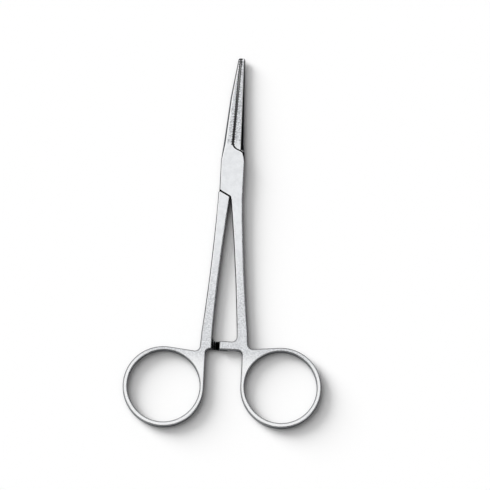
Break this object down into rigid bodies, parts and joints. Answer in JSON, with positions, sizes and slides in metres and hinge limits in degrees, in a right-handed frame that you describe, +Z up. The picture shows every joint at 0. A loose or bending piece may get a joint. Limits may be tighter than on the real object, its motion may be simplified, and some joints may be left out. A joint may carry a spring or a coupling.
{
  "type": "hemostat forceps",
  "caption": "Straight box lock hemostat with cross serrated jaws, finger rings and a ratchet that holds the jaws closed.",
  "frame": {"origin": "where the pivot axis meets the table, at the lower face of the lock", "axes": "+Y along the closed jaws, from the pivot to the tips; +Z up along the pivot pin; +X towards the ring of the box half"},
  "size_m": [0.0654, 0.1255, 0.0036],
  "materials": {
    "steel": "satin"
  },
  "bodies": {
    "box_side": {"box_half": "steel", "pivot_pin": "steel"},
    "tongue_side": {"tongue_half": "steel"}
  },
  "joints": [
    {"name": "lock_pivot", "type": "hinge", "parent": "box_side", "child": "tongue_side", "pos_m": [0, 0, 0.0018], "axis": [0, 0, -1], "range_deg": [0, 50]}
  ]
}
